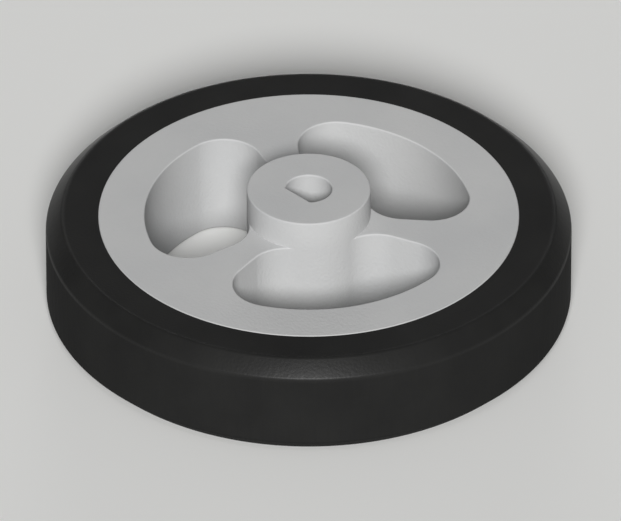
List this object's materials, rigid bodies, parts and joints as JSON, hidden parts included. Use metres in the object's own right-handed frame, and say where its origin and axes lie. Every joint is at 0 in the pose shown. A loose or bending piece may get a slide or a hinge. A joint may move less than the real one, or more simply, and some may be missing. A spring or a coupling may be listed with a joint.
{
  "type": "combat robot wheel",
  "caption": "Small robot drive wheel: a moulded hub with rounded windows between its spokes, a raised boss and a D-shaped bore, in a smooth rubber tyre with chamfered edges.",
  "frame": {"origin": "on the axle line, in the plane of the wheel's plain back face", "axes": "+Z along the axle line, from the back face towards the boss; -Y towards the flat of the D bore and the spoke beside it"},
  "size_m": [0.034, 0.034, 0.009],
  "materials": {
    "hub_plastic": "satin moulded, light grey",
    "tyre_rubber": "matt moulded, black"
  },
  "bodies": {
    "root": {"hub": "hub_plastic", "tyre": "tyre_rubber"}
  },
  "joints": []
}
